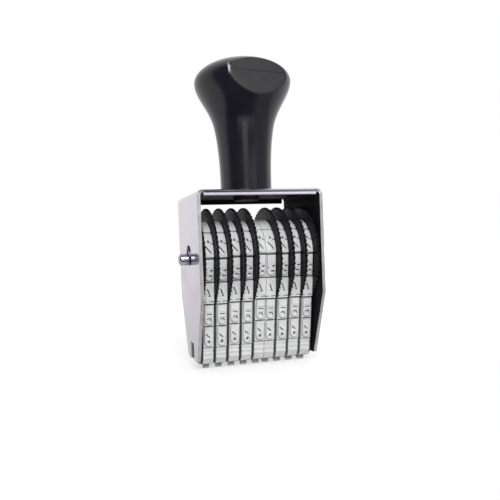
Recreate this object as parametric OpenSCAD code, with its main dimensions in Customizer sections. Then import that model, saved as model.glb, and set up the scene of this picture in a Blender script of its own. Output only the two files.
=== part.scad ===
// Hand numbering machine: nine rubber type bands turned by toothed thumb wheels.
// X runs along the axle, Z is up, and Z = 0 is the face of the type that prints.

/* [Type bands] */
// Width of one type band
band_w = 2.85; // [2.6:0.05:3.1]
// Thickness of the band without its type
band_t = 1; // [0.8:0.1:1.3]
// Height of the raised type over the band
type_h = 1.6; // [1.3:0.1:1.8]
// Height of the pad under each digit over the band
pad_h = 0.3; // [0.15:0.05:0.4]
// Width of the groove between two pads
pad_gap = 0.5; // [0.3:0.05:0.8]
// Height of a printed digit
digit_h = 4.2; // [4:0.1:4.4]
// Width of a printed digit
digit_w = 2.05; // [1.9:0.05:2.1]
// Width of the strokes at the face of a digit
stroke = 0.5; // [0.45:0.05:0.6]
// How much wider the strokes are at the foot of a digit, on each side
foot_grow = 0.3; // [0.2:0.02:0.34]
// How far a digit sits below the middle of its pad
digit_drop = 0.4; // [0:0.05:0.5]
// Side gap between a band and the flanges beside it
band_gap = 0.1; // [0.08:0.01:0.2]
// Height of the fine ribs on the ribbed blank
rib_h = 0.2; // [0.1:0.05:0.4]
// Width of one fine rib
rib_w = 0.6; // [0.3:0.05:0.8]
// Number of fine ribs
ribs = 4; // [3:1:5]

/* [Thumb wheels] */
// Radius over the teeth of a thumb wheel
wheel_r = 15.5; // [15.2:0.1:16.5]
// Thickness of the toothed flange
flange_t = 0.75; // [0.6:0.05:1]
// Number of teeth round a thumb wheel
teeth = 60; // [40:4:72]
// Radius of the round notch between two teeth
notch_r = 0.55; // [0.4:0.05:0.6]
// Depth of the notch between two teeth
notch_depth = 0.55; // [0.3:0.05:0.7]
// Radius of the drum that carries the band
drum_r = 9.55; // [9:0.05:10]
// Thickness of the drum's wall
drum_wall = 1.3; // [1:0.1:2]
// Radius of the boss round the axle
boss_r = 3.2; // [2.8:0.1:4]
// Number of spokes inside the drum
spokes = 6; // [3:1:8]
// Thickness of one spoke
spoke_t = 0.9; // [0.6:0.1:1.4]
// Gap between two wheels along the axle
wheel_gap = 0.1; // [0.08:0.01:0.2]

/* [Axle] */
// Radius of the axle
axle_r = 1.75; // [1.5:0.05:2]
// Height of the axle over the face of the type
axle_z = 32.7; // [31:0.1:35]
// How far the axle stands out of each side plate
stub = 3.1; // [2.6:0.1:4]
// Radius of the axle in the clip's groove
groove_r = 1.35; // [1.2:0.05:1.4]
// Outer radius of the retaining clip round the groove
clip_r = 2.4; // [2.2:0.05:2.6]
// Height of the clip's tip over the axle's middle
clip_top = 4.2; // [3.9:0.1:4.6]
// Height of the opening in the clip over the axle's middle
clip_eye = 3.2; // [2.8:0.1:3.4]
// Thickness of the retaining clip
clip_t = 0.3; // [0.2:0.05:0.5]
// Width of the clip's open side
clip_mouth = 2.2; // [2:0.05:2.6]
// Running clearance of a wheel on the axle
axle_gap = 0.06; // [0.03:0.01:0.1]

/* [Frame] */
// Thickness of the frame's sheet
sheet = 1; // [0.8:0.1:1.2]
// Depth of the frame, front to back
frame_d = 30; // [28:0.5:30.4]
// Height of the frame's top over the face of the type
frame_top = 52.3; // [51.6:0.1:56]
// Height of the side plates' lower end over the face of the type
frame_low = 2.6; // [2:0.1:4]
// Depth of a side plate at its lower end
foot_d = 14; // [12:0.5:18]
// Height at which the side plates start to narrow
kink_z = 22; // [18:0.5:26]
// Outer radius of the bends between top and side plates
bend_r = 1.9; // [1.5:0.1:2.5]
// Height of the lips turned down along the top's front and back
lip_h = 1.85; // [1.65:0.05:2.4]
// Outer radius of a lip's bend
lip_r = 1.5; // [1.1:0.1:1.6]
// Radius of the side plates' lower corners
foot_r = 1.2; // [0.6:0.1:2]
// Gap between the wheel pack and a side plate
side_gap = 0.25; // [0.2:0.01:0.5]
// Width of the slot in a side plate that holds the bridge
slot_w = 4.4; // [4:0.1:4.8]
// Height of the slot
slot_h = 5; // [4:0.1:6]

/* [Bridge] */
// Flat width of the bridge under the printing digits
nose_flat = 4.2; // [4:0.1:5]
// Radius of the bridge's lower edges
nose_r = 1.75; // [1.4:0.05:2.2]
// Gap between the bridge's top and the wheels over it
bridge_room = 0.3; // [0.2:0.1:2]
// Gap between the bridge or a drum and the band round it
bridge_gap = 0.08; // [0.05:0.01:0.1]
// Thickness of the guide fins between two bands
fin_t = 0.55; // [0.4:0.05:0.6]
// Height of the guide fins over the bridge
fin_h = 0.85; // [0.5:0.05:1]
// Gap round the bridge's tongues in the slots
tongue_gap = 0.1; // [0.05:0.05:0.2]
// How far a tongue's end lies behind the side plate's outer face
tongue_inset = 0.4; // [0.2:0.05:0.6]
// Depth of the cross grooves in a tongue's end
tongue_groove = 0.35; // [0.2:0.05:0.5]

/* [Handle] */
// Height of the handle
handle_h = 40.5; // [38:0.5:44]
// Radius of the handle's foot
stem_r = 7.8; // [7.4:0.1:8.6]
// Radius of the neck, where the stem starts to flare
neck_r = 9.2; // [8.8:0.1:10]
// Height of the neck over the handle's foot
neck_z = 20; // [18:0.5:22]
// Greatest radius of the knob
knob_r = 14.75; // [13.5:0.05:15.2]
// Height of the knob's greatest radius over the handle's foot
knob_z = 33.5; // [32:0.5:35]
// Distance of the flat thumb facet from the handle's axis
facet_at = 11.6; // [11:0.1:13]
// Turn of the facet to the right
facet_turn = 7.8; // [0:0.2:20]
// Backward lean of the facet
facet_lean = 7.6; // [0:0.2:20]
// Outward slope of the outline at the neck
neck_slope = 0.21; // [0.1:0.01:0.35]
// Fullness of the flare over the neck
flare_pull = 0.43; // [0.3:0.01:0.55]
// Fullness of the knob under its greatest radius
belly_pull = 0.29; // [0.2:0.01:0.5]
// Fullness of the knob's shoulder
dome_pull = 0.53; // [0.4:0.01:0.6]
// Fullness of the knob's crown
crown_pull = 0.59; // [0.45:0.01:0.65]

/* [Handle fastening] */
// Radius of the threaded insert
insert_r = 3.5; // [3:0.1:4.5]
// Length of the threaded insert
insert_len = 13; // [9:0.5:15]
// Radius of the screw's shank
screw_r = 2; // [1.75:0.05:2.2]
// Length of the screw under its head
screw_len = 11; // [8:0.5:13]
// Radius of the screw's head
head_r = 4; // [3.5:0.1:5]
// Height of the screw's head
head_h = 1.3; // [1:0.1:1.4]
// Width of the screw's driving slot
drive_w = 1; // [0.8:0.1:1.2]
// Clearance of the screw in its holes
screw_gap = 0.05; // [0.03:0.01:0.1]

/* [Hidden] */
$fn = 64;
over = 1;                // how far a cutter runs past what it cuts
count = 9;               // bands and wheels
left_count = 5;          // wheels with the flange to the left of the band
segments = 15;           // digit places round one band
arc_step = 6;            // degrees between the points of an arc
curve_steps = 14;        // lines in one curve of the handle's outline
clip_seat = 0.05;        // gap between a clip and the plate or groove beside it
axle_seat = 0.05;        // gap between the axle and its holes in the side plates
chamfer = 0.45;          // chamfer at the axle's ends
face = 0.25;             // share of the type's height that the fine face takes

// Digits by place, from the printing place up the front; -1 is ribbed, -2 is blank
places = [7, -1, 6, 5, 4, 3, 2, 1, -2, -2, -2, -2, 0, 9, 8];

band_room = band_w + 2 * band_gap;
wheel_w = flange_t + band_room;
wheel_step = wheel_w + wheel_gap;
pack_w = count * wheel_step - wheel_gap;
inner_w = pack_w + 2 * side_gap;
frame_w = inner_w + 2 * sheet;
web_z = frame_top - sheet;
bridge_top = axle_z - wheel_r - bridge_room;

// The band's inner path: an arc over the drum and two arcs under the bridge
path_top_r = drum_r + bridge_gap;
path_nose_r = nose_r + bridge_gap;
path_nose_z = type_h + band_t + path_nose_r;
nose_half = nose_flat / 2;
drop = axle_z - path_nose_z;
slope = atan2(drop, nose_half) - acos((path_top_r - path_nose_r) / norm([nose_half, drop]));

// Lengths along the middle of the band's thickness
mid_top_r = path_top_r + band_t / 2;
mid_nose_r = path_nose_r + band_t / 2;
turn = 90 - slope;
nose_len = mid_nose_r * turn * PI / 180;
side_from = [-nose_half - mid_nose_r * cos(slope), path_nose_z - mid_nose_r * sin(slope)];
side_to = [-mid_top_r * cos(slope), axle_z - mid_top_r * sin(slope)];
side_len = norm(side_to - side_from);
top_len = mid_top_r * (180 + 2 * slope) * PI / 180;
loop_len = 2 * (nose_half + nose_len + side_len) + top_len;
pitch = loop_len / segments;

// Radius of a digit's bowls and half their height, to the middle of the stroke
bowl = (digit_w - stroke) / 2;
rise = (digit_h - stroke) / 4;

function arc(c, r, from, to) =
    let (n = ceil(abs(to - from) / arc_step))
    [for (i = [0:n]) let (a = from + (to - from) * i / n) c + r * [cos(a), sin(a)]];

// Closed outline at the distance d outside the band's inner path
function loop_points(d) = concat(
    arc([-nose_half, path_nose_z], path_nose_r + d, 270, 180 + slope),
    arc([0, axle_z], path_top_r + d, 180 + slope, -slope),
    arc([nose_half, path_nose_z], path_nose_r + d, -slope, -90)
);

// Place and direction [y, z, angle] at the length s along the band from its printing place
function on_front(s) =
    s <= nose_half ? [-s, path_nose_z - mid_nose_r, 0] :
    s <= nose_half + nose_len ?
        let (a = (s - nose_half) / mid_nose_r * 180 / PI)
        [-nose_half - mid_nose_r * sin(a), path_nose_z - mid_nose_r * cos(a), a] :
    s <= nose_half + nose_len + side_len ?
        let (p = side_from + (side_to - side_from) * (s - nose_half - nose_len) / side_len)
        [p.x, p.y, turn] :
        let (a = turn + (s - nose_half - nose_len - side_len) / mid_top_r * 180 / PI)
        [-mid_top_r * sin(a), axle_z - mid_top_r * cos(a), a];

function on_loop(s) =
    s < 0 ? on_loop(s + loop_len) :
    s <= loop_len / 2 ? on_front(s) :
    let (p = on_front(loop_len - s)) [-p.x, p.y, 360 - p.z];

// Left end of a wheel, and the middle of its band, along the axle
function wheel_x(k) = -pack_w / 2 + (k - 1) * wheel_step;
function band_x(k) = wheel_x(k) + (k <= left_count ? flange_t : 0) + band_room / 2;
function flange_mid(k) = wheel_x(k) + (k <= left_count ? flange_t / 2 : wheel_w - flange_t / 2);

// Extrudes an outline drawn in Y and Z along X
module along_x(from, len) {
    translate([from, 0, 0]) rotate([90, 0, 90]) linear_extrude(len) children();
}

module ring(r, w) {
    difference() {
        circle(r);
        circle(r - w);
    }
}

// Straight stroke of the width w from a to b, with square ends
module bar(a, b, w) {
    translate(a) rotate(atan2(b.y - a.y, b.x - a.x)) translate([-w / 2, -w / 2]) square([norm(b - a) + w, w]);
}

// Round-ended oval, grown by d on all sides
module oval(half, d) {
    reach = half - bowl;
    for (side = [-1, 1]) {
        translate([0, side * reach]) circle(bowl + d);
    }
    if (reach > 0) {
        square([2 * (bowl + d), 2 * reach], center = true);
    }
}

// Closed bowl of a digit about the height y, with the stroke w
module oval_ring(y, half, w) {
    translate([0, y]) difference() {
        oval(half, w / 2);
        oval(half, -w / 2);
    }
}

// Upper half of the upper bowl
module top_arc(w) {
    intersection() {
        oval_ring(rise, rise, w);
        translate([-digit_w, rise]) square([2 * digit_w, digit_h]);
    }
}

// A digit drawn upright about its centre with strokes of the width w
module digit(n, w) {
    b = bowl;
    h = rise;
    if (n == 0) {
        oval_ring(0, 2 * h, w);
    }
    if (n == 1) {
        bar([0, -2 * h], [0, 2 * h], w);
        bar([0, 2 * h], [-0.8 * b, 1.3 * h], w);
    }
    if (n == 2) {
        top_arc(w);
        bar([b, h], [-b, -2 * h], w);
        bar([-b, -2 * h], [b, -2 * h], w);
    }
    if (n == 3) {
        difference() {
            union() {
                oval_ring(h, h, w);
                oval_ring(-h, h, w);
            }
            translate([-2 * digit_w, -h]) square([2 * digit_w, 2 * h]);
        }
        bar([-0.2 * b, 0], [0.2 * b, 0], w);
    }
    if (n == 4) {
        bar([0.85 * b, -2 * h], [0.85 * b, 2 * h], 0.8 * w);
        bar([-1.2 * b, -h], [b, -h], w);
        bar([-1.2 * b, -h], [0.5 * b, 2 * h], 0.8 * w);
    }
    if (n == 5) {
        difference() {
            oval_ring(-0.85 * h, 1.15 * h, w);
            translate([-2 * digit_w, -0.85 * h]) square([2 * digit_w, digit_h]);
        }
        bar([-b, 0.3 * h], [0, 0.3 * h], w);
        bar([-b, 0.3 * h], [-b, 2 * h], w);
        bar([-b, 2 * h], [0.9 * b, 2 * h], w);
    }
    if (n == 6 || n == 9) {
        rotate(n == 9 ? 180 : 0) {
            oval_ring(-h, h, w);
            bar([-b, -h], [-b, 0.4 * h], w);
            bar([-b, 0.4 * h], [0.6 * b, 2 * h], w);
        }
    }
    if (n == 7) {
        bar([-0.8 * b, 2 * h], [0.8 * b, 2 * h], w);
        bar([0.8 * b, 2 * h], [-0.3 * b, -2 * h], w);
    }
    if (n == 8) {
        oval_ring(h, h, w);
        oval_ring(-h, h, w);
    }
}

// One digit seen in a mirror, with a fine face on a wider foot, rising from the band's middle
module type_body(n) {
    foot_top = band_t / 2 + pad_h + (type_h - pad_h) * (1 - face);
    mirror([1, 0, 0]) translate([0, -digit_drop, 0]) {
        linear_extrude(band_t / 2 + type_h) digit(n, stroke);
        linear_extrude(foot_top) intersection() {
            digit(n, stroke + 2 * foot_grow);
            square([band_w, pitch], center = true);
        }
    }
}

// Cutter for the groove between two pads, at the length s along the band
module pad_groove(s) {
    at = on_loop(s);
    translate([0, at.x, at.y]) rotate([180 - at.z, 0, 0])
        translate([-band_w, -pad_gap / 2, band_t / 2]) cube([2 * band_w, pad_gap, type_h]);
}

// Fine cross ribs on the ribbed blank
module blank_ribs(s) {
    for (i = [0:ribs - 1]) {
        at = on_loop(s + (i - (ribs - 1) / 2) * pitch / ribs);
        translate([0, at.x, at.y]) rotate([180 - at.z, 0, 0])
            translate([-band_w / 2, -rib_w / 2, 0]) cube([band_w, rib_w, band_t / 2 + pad_h + rib_h]);
    }
}

module band(k) {
    color("gainsboro") {
        translate([band_x(k), 0, 0]) {
            difference() {
                along_x(-band_w / 2, band_w) difference() {
                    polygon(loop_points(band_t + pad_h));
                    polygon(loop_points(0));
                }
                for (i = [0:segments - 1]) {
                    pad_groove((i + 0.5) * pitch);
                }
            }
            for (i = [0:segments - 1]) {
                at = on_loop(i * pitch);
                if (places[i] >= 0) {
                    translate([0, at.x, at.y]) rotate([180 - at.z, 0, 0]) type_body(places[i]);
                }
                if (places[i] == -1) {
                    blank_ribs(i * pitch);
                }
            }
        }
    }
}

// A thumb wheel with its flange at X = 0 and its drum towards +X
module thumb_wheel() {
    along_x(0, flange_t) difference() {
        circle(wheel_r);
        circle(axle_r + axle_gap);
        for (i = [0:teeth - 1]) {
            rotate((i + 0.5) * 360 / teeth) translate([wheel_r + notch_r - notch_depth, 0]) circle(notch_r);
        }
    }
    along_x(flange_t / 2, flange_t / 2 + band_room) {
        ring(drum_r, drum_wall);
        difference() {
            union() {
                circle(boss_r);
                for (i = [0:spokes - 1]) {
                    rotate(i * 360 / spokes)
                        translate([0, -spoke_t / 2]) square([drum_r - drum_wall / 2, spoke_t]);
                }
            }
            circle(axle_r + axle_gap);
        }
    }
}

module wheel(k) {
    color([0.13, 0.13, 0.14]) translate([wheel_x(k), 0, axle_z]) {
        if (k <= left_count) {
            thumb_wheel();
        } else {
            translate([wheel_w, 0, 0]) mirror([1, 0, 0]) thumb_wheel();
        }
    }
}

module axle() {
    len = frame_w + 2 * stub;
    color("silver") translate([-len / 2, 0, axle_z]) rotate([0, 90, 0]) difference() {
        union() {
            cylinder(r1 = axle_r - chamfer, r2 = axle_r, h = chamfer);
            translate([0, 0, chamfer]) cylinder(r = axle_r, h = len - 2 * chamfer);
            translate([0, 0, len - chamfer]) cylinder(r1 = axle_r, r2 = axle_r - chamfer, h = chamfer);
        }
        for (z = [stub - clip_t - 2 * clip_seat, len - stub]) {
            translate([0, 0, z]) difference() {
                cylinder(r = axle_r + over, h = clip_t + 2 * clip_seat);
                cylinder(r = groove_r, h = clip_t + 2 * clip_seat);
            }
        }
    }
}

// Round outline about the axle with a point at the height top
module teardrop(r, top) {
    side = acos(r / top);
    polygon(concat(arc([0, 0], r, 90 + side, 450 - side), [[0, top]]));
}

// Spring clip, open downwards, whose legs grip the groove
module clip_outline() {
    meet = 1.1 * clip_top;    // height where the straight sides would meet over the rounded tip
    difference() {
        intersection() {
            teardrop(clip_r, meet);
            circle(clip_top);
        }
        teardrop(groove_r + clip_seat, clip_eye);
        translate([-clip_mouth / 2, -clip_r - over]) square([clip_mouth, clip_r + over]);
    }
}

module axle_clip_left() {
    color([0.25, 0.25, 0.27]) translate([0, 0, axle_z])
        along_x(-frame_w / 2 - clip_seat - clip_t, clip_t) clip_outline();
}

module axle_clip_right() {
    color([0.25, 0.25, 0.27]) translate([0, 0, axle_z])
        along_x(frame_w / 2 + clip_seat, clip_t) clip_outline();
}

// Front view of the bracket: a top with two bends and two side plates
function bracket_outline(w, top, r) = concat(
    [[-w / 2, frame_low - over]],
    arc([r - w / 2, top - r], r, 180, 90),
    arc([w / 2 - r, top - r], r, 90, 0),
    [[w / 2, frame_low - over]]
);

// Side view of the bracket, narrowing towards the print
function plate_outline() = concat(
    [[-frame_d / 2, frame_top + over], [-frame_d / 2, kink_z]],
    arc([foot_r - foot_d / 2, frame_low + foot_r], foot_r, 190, 270),
    arc([foot_d / 2 - foot_r, frame_low + foot_r], foot_r, 270, 350),
    [[frame_d / 2, kink_z], [frame_d / 2, frame_top + over]]
);

// One lip, turned down at the front, drawn in Y and Z
module lip_outline() {
    polygon(concat(
        [[-frame_d / 2, frame_top - lip_h]],
        arc([lip_r - frame_d / 2, frame_top - lip_r], lip_r, 180, 90),
        [[sheet * 2 - frame_d / 2, frame_top], [sheet * 2 - frame_d / 2, web_z]],
        [[sheet - frame_d / 2, web_z], [sheet - frame_d / 2, frame_top - lip_h]]
    ));
}

module frame() {
    lip_len = frame_w - 2 * bend_r;
    color([0.8, 0.8, 0.83]) difference() {
        union() {
            intersection() {
                translate([0, frame_d / 2, 0]) rotate([90, 0, 0]) linear_extrude(frame_d) difference() {
                    polygon(bracket_outline(frame_w, frame_top, bend_r));
                    polygon(bracket_outline(inner_w, web_z, bend_r - sheet));
                }
                along_x(-frame_w / 2 - over, frame_w + 2 * over) polygon(plate_outline());
            }
            along_x(-lip_len / 2, lip_len) lip_outline();
            mirror([0, 1, 0]) along_x(-lip_len / 2, lip_len) lip_outline();
        }
        edge_cut();
        mirror([0, 1, 0]) edge_cut();
        for (side = [-1, 1]) {
            translate([side * frame_w / 2, 0, axle_z]) rotate([0, 90, 0])
                cylinder(r = axle_r + axle_seat, h = 2 * sheet + over, center = true);
            translate([side * frame_w / 2 - sheet - over, -slot_w / 2, frame_low - over])
                cube([2 * sheet + over, slot_w, slot_h + over]);
        }
        translate([0, 0, web_z - over]) cylinder(r = screw_r + 2 * screw_gap, h = sheet + 2 * over);
    }
}

// Cutter that rounds the top's back edge to the lip's bend
module edge_cut() {
    translate([0, frame_d / 2 - lip_r, frame_top - lip_r])
        along_x(-frame_w / 2 - over, frame_w + 2 * over) difference() {
            square(lip_r + over);
            circle(lip_r);
        }
}

// Outline of the bridge or a fin: the band's path moved by d, below the bridge's top
module bridge_outline(d) {
    intersection() {
        polygon(loop_points(d));
        translate([-frame_d / 2, 0]) square([frame_d, bridge_top]);
    }
}

module bridge() {
    body_w = inner_w - 2 * tongue_gap;
    tongue_w = frame_w - 2 * tongue_inset;
    tongue_low = max(frame_low, type_h + band_t + bridge_gap) + tongue_gap;
    tongue_h = frame_low + slot_h - tongue_gap - tongue_low;
    groove = tongue_h / 5;
    color([0.16, 0.16, 0.17]) {
        along_x(-body_w / 2, body_w) bridge_outline(-bridge_gap);
        for (k = [1:count]) {
            along_x(flange_mid(k) - fin_t / 2, fin_t) bridge_outline(fin_h);
        }
        difference() {
            translate([-tongue_w / 2, tongue_gap - slot_w / 2, tongue_low])
                cube([tongue_w, slot_w - 2 * tongue_gap, tongue_h]);
            for (side = [-1, 1]) {
                for (i = [1, 3]) {
                    translate([side * tongue_w / 2, 0, tongue_low + (i + 0.5) * groove])
                        cube([2 * tongue_groove, 2 * slot_w, groove], center = true);
                }
            }
        }
    }
}

// Cubic curve through four control points
function curve(a, b, c, d) = [
    for (i = [0:curve_steps]) let (t = i / curve_steps, u = 1 - t)
    u * u * u * a + 3 * u * u * t * b + 3 * u * t * t * c + t * t * t * d
];

module handle() {
    edge = 0.4;
    neck = [neck_r, neck_z];
    belly = [knob_r, knob_z];
    run = knob_z - neck_z;
    rise = handle_h - knob_z;
    flare = [neck_slope, 1] * run * flare_pull;
    color([0.05, 0.05, 0.06]) translate([0, 0, frame_top]) difference() {
        rotate_extrude($fn = 96) polygon(concat(
            [[0, 0], [stem_r - edge, 0]],
            curve([stem_r, edge], [stem_r, neck_z / 3], neck - flare, neck),
            curve(neck, neck + flare, [knob_r, knob_z - run * belly_pull], belly),
            curve(belly, [knob_r, knob_z + rise * dome_pull], [knob_r * crown_pull, handle_h], [0, handle_h])
        ));
        rotate([0, 0, facet_turn]) translate([0, 0, knob_z]) rotate([-facet_lean, 0, 0])
            translate([-2 * knob_r, -facet_at - knob_r, -knob_r]) cube([4 * knob_r, knob_r, 3 * knob_r]);
        translate([0, 0, -over]) cylinder(r = insert_r, h = insert_len + over);
    }
}

module handle_insert() {
    ring_w = insert_len / 6;
    seat_r = insert_r - screw_gap;
    color("goldenrod") translate([0, 0, frame_top]) difference() {
        cylinder(r = seat_r, h = insert_len - screw_gap);
        translate([0, 0, -over]) cylinder(r = screw_r + screw_gap, h = insert_len + 2 * over);
        for (i = [1, 3]) {
            translate([0, 0, i * ring_w]) difference() {
                cylinder(r = insert_r + over, h = ring_w);
                cylinder(r = insert_r * 0.88, h = ring_w);
            }
        }
    }
}

module handle_screw() {
    color("silver") translate([0, 0, web_z]) difference() {
        union() {
            translate([0, 0, -head_h]) cylinder(r = head_r, h = head_h);
            translate([0, 0, -head_h / 2]) cylinder(r = screw_r, h = screw_len + head_h / 2);
        }
        translate([-head_r - over, -drive_w / 2, -head_h - over])
            cube([2 * (head_r + over), drive_w, head_h / 2 + over]);
    }
}

frame();
handle();
handle_insert();
handle_screw();
axle();
axle_clip_left();
axle_clip_right();
bridge();
wheel(1);  // wheel_1
wheel(2);  // wheel_2
wheel(3);  // wheel_3
wheel(4);  // wheel_4
wheel(5);  // wheel_5
wheel(6);  // wheel_6
wheel(7);  // wheel_7
wheel(8);  // wheel_8
wheel(9);  // wheel_9
band(1);  // band_1
band(2);  // band_2
band(3);  // band_3
band(4);  // band_4
band(5);  // band_5
band(6);  // band_6
band(7);  // band_7
band(8);  // band_8
band(9);  // band_9
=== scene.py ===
import math

import bmesh
import bpy
import numpy as np
from mathutils import Matrix, Vector


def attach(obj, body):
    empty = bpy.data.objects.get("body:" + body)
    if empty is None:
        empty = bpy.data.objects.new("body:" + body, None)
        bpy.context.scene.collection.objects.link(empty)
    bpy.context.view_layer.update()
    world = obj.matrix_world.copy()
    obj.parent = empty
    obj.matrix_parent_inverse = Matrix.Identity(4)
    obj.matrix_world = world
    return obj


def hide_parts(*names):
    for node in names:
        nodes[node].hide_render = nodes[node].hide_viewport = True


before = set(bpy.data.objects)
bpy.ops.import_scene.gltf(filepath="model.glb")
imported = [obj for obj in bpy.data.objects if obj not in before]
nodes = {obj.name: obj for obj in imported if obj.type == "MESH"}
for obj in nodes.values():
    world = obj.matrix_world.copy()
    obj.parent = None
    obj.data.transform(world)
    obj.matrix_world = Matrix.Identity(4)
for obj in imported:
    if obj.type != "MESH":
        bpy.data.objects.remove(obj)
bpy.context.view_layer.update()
mm = 0.001
axleZ = 32.7            # height of the axle over the printing face, in mm
print("frame loaded,", len(nodes), "nodes")


# camera

cameraSetup = {
    "place": (-51.75, -169.77, 36.9),
    "aim": (0, 0, 33),
    "roll": -2.17,          # degrees
    "lens": 41.35,
    "shift": (0.0026, 0.0114),
}


def addCamera(setup):
    place = Vector(setup["place"]) * mm
    back = (place - Vector(setup["aim"]) * mm).normalized()
    right = Vector((0, 0, 1)).cross(back).normalized()
    up = back.cross(right)
    turn = math.radians(setup["roll"])
    camX = right * math.cos(turn) + up * math.sin(turn)
    camY = up * math.cos(turn) - right * math.sin(turn)
    data = bpy.data.cameras.new("studioCamera")
    data.lens = setup["lens"]
    data.sensor_width = 36
    data.shift_x, data.shift_y = setup["shift"]
    data.clip_start = 0.01
    camera = bpy.data.objects.new("studioCamera", data)
    camera.matrix_world = Matrix.Translation(place) @ Matrix((camX, camY, back)).transposed().to_4x4()
    bpy.context.scene.collection.objects.link(camera)
    bpy.context.scene.camera = camera


addCamera(cameraSetup)


# node helpers

def addNode(tree, kind, inputs=None, **settings):
    node = tree.nodes.new(kind)
    for key, value in settings.items():
        setattr(node, key, value)
    for key, value in (inputs or {}).items():
        if isinstance(value, bpy.types.NodeSocket):
            tree.links.new(value, node.inputs[key])
        else:
            node.inputs[key].default_value = value
    return node


def newMaterial(name, sockets):
    material = bpy.data.materials.new(name)
    material.use_nodes = True
    tree = material.node_tree
    shader = tree.nodes["Principled BSDF"]
    for key, value in sockets.items():
        shader.inputs[key].default_value = value
    place = addNode(tree, "ShaderNodeTexCoord").outputs["Object"]
    return material, tree, shader, place


def noiseAt(tree, place, size, detail=3, stretch=(1, 1, 1), rough=0.55):
    # size is the width of one blob in mm, stretch makes it longer along an axis
    scale = tuple(1 / (size * mm * s) for s in stretch)
    mapped = addNode(tree, "ShaderNodeMapping", {"Vector": place, "Scale": scale})
    noise = addNode(tree, "ShaderNodeTexNoise", {
        "Vector": mapped.outputs["Vector"], "Scale": 1.0, "Detail": detail, "Roughness": rough})
    return noise.outputs["Fac"]


def colourRamp(tree, fac, stops):
    node = addNode(tree, "ShaderNodeValToRGB", {"Fac": fac})
    ramp = node.color_ramp
    while len(ramp.elements) < len(stops):
        ramp.elements.new(0.5)
    for element, (at, colour) in zip(ramp.elements, stops):
        element.position = at
        element.color = (*colour, 1)
    return node.outputs["Color"]


def mapRange(tree, value, low, high, toLow, toHigh, smooth=False):
    return addNode(tree, "ShaderNodeMapRange", {
        "Value": value, "From Min": low, "From Max": high, "To Min": toLow, "To Max": toHigh},
        interpolation_type="SMOOTHSTEP" if smooth else "LINEAR").outputs["Result"]


def calc(tree, operation, a, b=0.0):
    return addNode(tree, "ShaderNodeMath", {0: a, 1: b}, operation=operation).outputs[0]


def mixColour(tree, factor, a, b):
    return addNode(tree, "ShaderNodeMix", {"Factor": factor, "A": a, "B": b}, data_type="RGBA").outputs[2]


def bumpOn(tree, shader, height, strength, depth, under=None):
    inputs = {"Height": height, "Strength": strength, "Distance": depth * mm}
    if under is not None:
        inputs["Normal"] = under
    normal = addNode(tree, "ShaderNodeBump", inputs).outputs["Normal"]
    tree.links.new(normal, shader.inputs["Normal"])
    return normal


def axes(tree, place):
    return addNode(tree, "ShaderNodeSeparateXYZ", {"Vector": place}).outputs


def nearValue(tree, value, middle, halfWidth):
    # 1 where value is at middle, falling to 0 at halfWidth (both in mm)
    away = calc(tree, "ABSOLUTE", calc(tree, "SUBTRACT", value, middle * mm))
    return mapRange(tree, away, 0, halfWidth * mm, 1, 0, True)


# materials

plateLook = {
    # how the tint and its painted reflection shade run with the height in metres, and how far clouds move
    # them
    "shadeRun": 12.0, "shadeDrift": 0.35,
    # pressed line over the slots, an arc that faces down
    "lineMiddle": -11, "lineRadius": 20.4, "lineWidth": 0.28,
    "lineEnd": (3.6, 4.4), "lineSide": (18.3, 18.5),
}


def brightPlate():
    look = plateLook
    material, tree, shader, place = newMaterial("brightPlate", {"Metallic": 1.0})
    at = axes(tree, place)
    # painted reflection shade: the lavender tint is the plating's own, its darker and paler bands with the
    # height stand in for reflections
    wave = calc(tree, "ADD", calc(tree, "MULTIPLY", at["Z"], look["shadeRun"]),
                calc(tree, "MULTIPLY", noiseAt(tree, place, 22, 2), look["shadeDrift"]))
    tintAndShade = colourRamp(tree, wave, [
        (0.25, (0.41, 0.385, 0.43)), (0.36, (0.455, 0.398, 0.478)), (0.475, (0.395, 0.335, 0.397)),
        (0.62, (0.50, 0.465, 0.535)), (0.76, (0.535, 0.493, 0.585))])
    tree.links.new(tintAndShade, shader.inputs["Base Color"])
    streak = noiseAt(tree, place, 0.35, 4, (1, 1, 40))
    smudge = noiseAt(tree, place, 5, 5)
    gloss = calc(tree, "ADD", mapRange(tree, streak, 0.3, 0.7, 0.06, 0.12),
                 mapRange(tree, smudge, 0.45, 0.75, 0, 0.06))
    tree.links.new(gloss, shader.inputs["Roughness"])
    fine = bumpOn(tree, shader, streak, 0.05, 0.02)
    # the pressed line is a shallow dent
    away = calc(tree, "SQRT", calc(
        tree, "ADD",
        calc(tree, "POWER", at["Y"], 2.0),
        calc(tree, "POWER", calc(tree, "SUBTRACT", at["Z"], look["lineMiddle"] * mm), 2.0)))
    line = nearValue(tree, away, look["lineRadius"], look["lineWidth"])
    low, high = look["lineSide"]
    side = mapRange(tree, calc(tree, "ABSOLUTE", at["X"]), low * mm, high * mm, 0, 1)
    low, high = look["lineEnd"]
    span = mapRange(tree, calc(tree, "ABSOLUTE", at["Y"]), low * mm, high * mm, 1, 0)
    pressed = calc(tree, "MULTIPLY", calc(tree, "MULTIPLY", line, side), span)
    bumpOn(tree, shader, calc(tree, "MULTIPLY", pressed, -1.0), 0.9, 0.12, fine)
    return material


def shadedInnerPlate():
    # the sheet's inner side, dull and near black: painted shade standing in for the dark reflections under
    # the web
    material, tree, shader, place = newMaterial("shadedInnerPlate", {"Metallic": 0.0, "Specular IOR Level": 0.03})
    tone = colourRamp(tree, noiseAt(tree, place, 7, 5), [
        (0.3, (0.009, 0.009, 0.0115)), (0.7, (0.020, 0.019, 0.024))])
    tree.links.new(tone, shader.inputs["Base Color"])
    streak = noiseAt(tree, place, 0.5, 4, (1, 30, 1))
    tree.links.new(mapRange(tree, streak, 0.3, 0.7, 0.5, 0.75), shader.inputs["Roughness"])
    bumpOn(tree, shader, streak, 0.08, 0.02)
    return material


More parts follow.
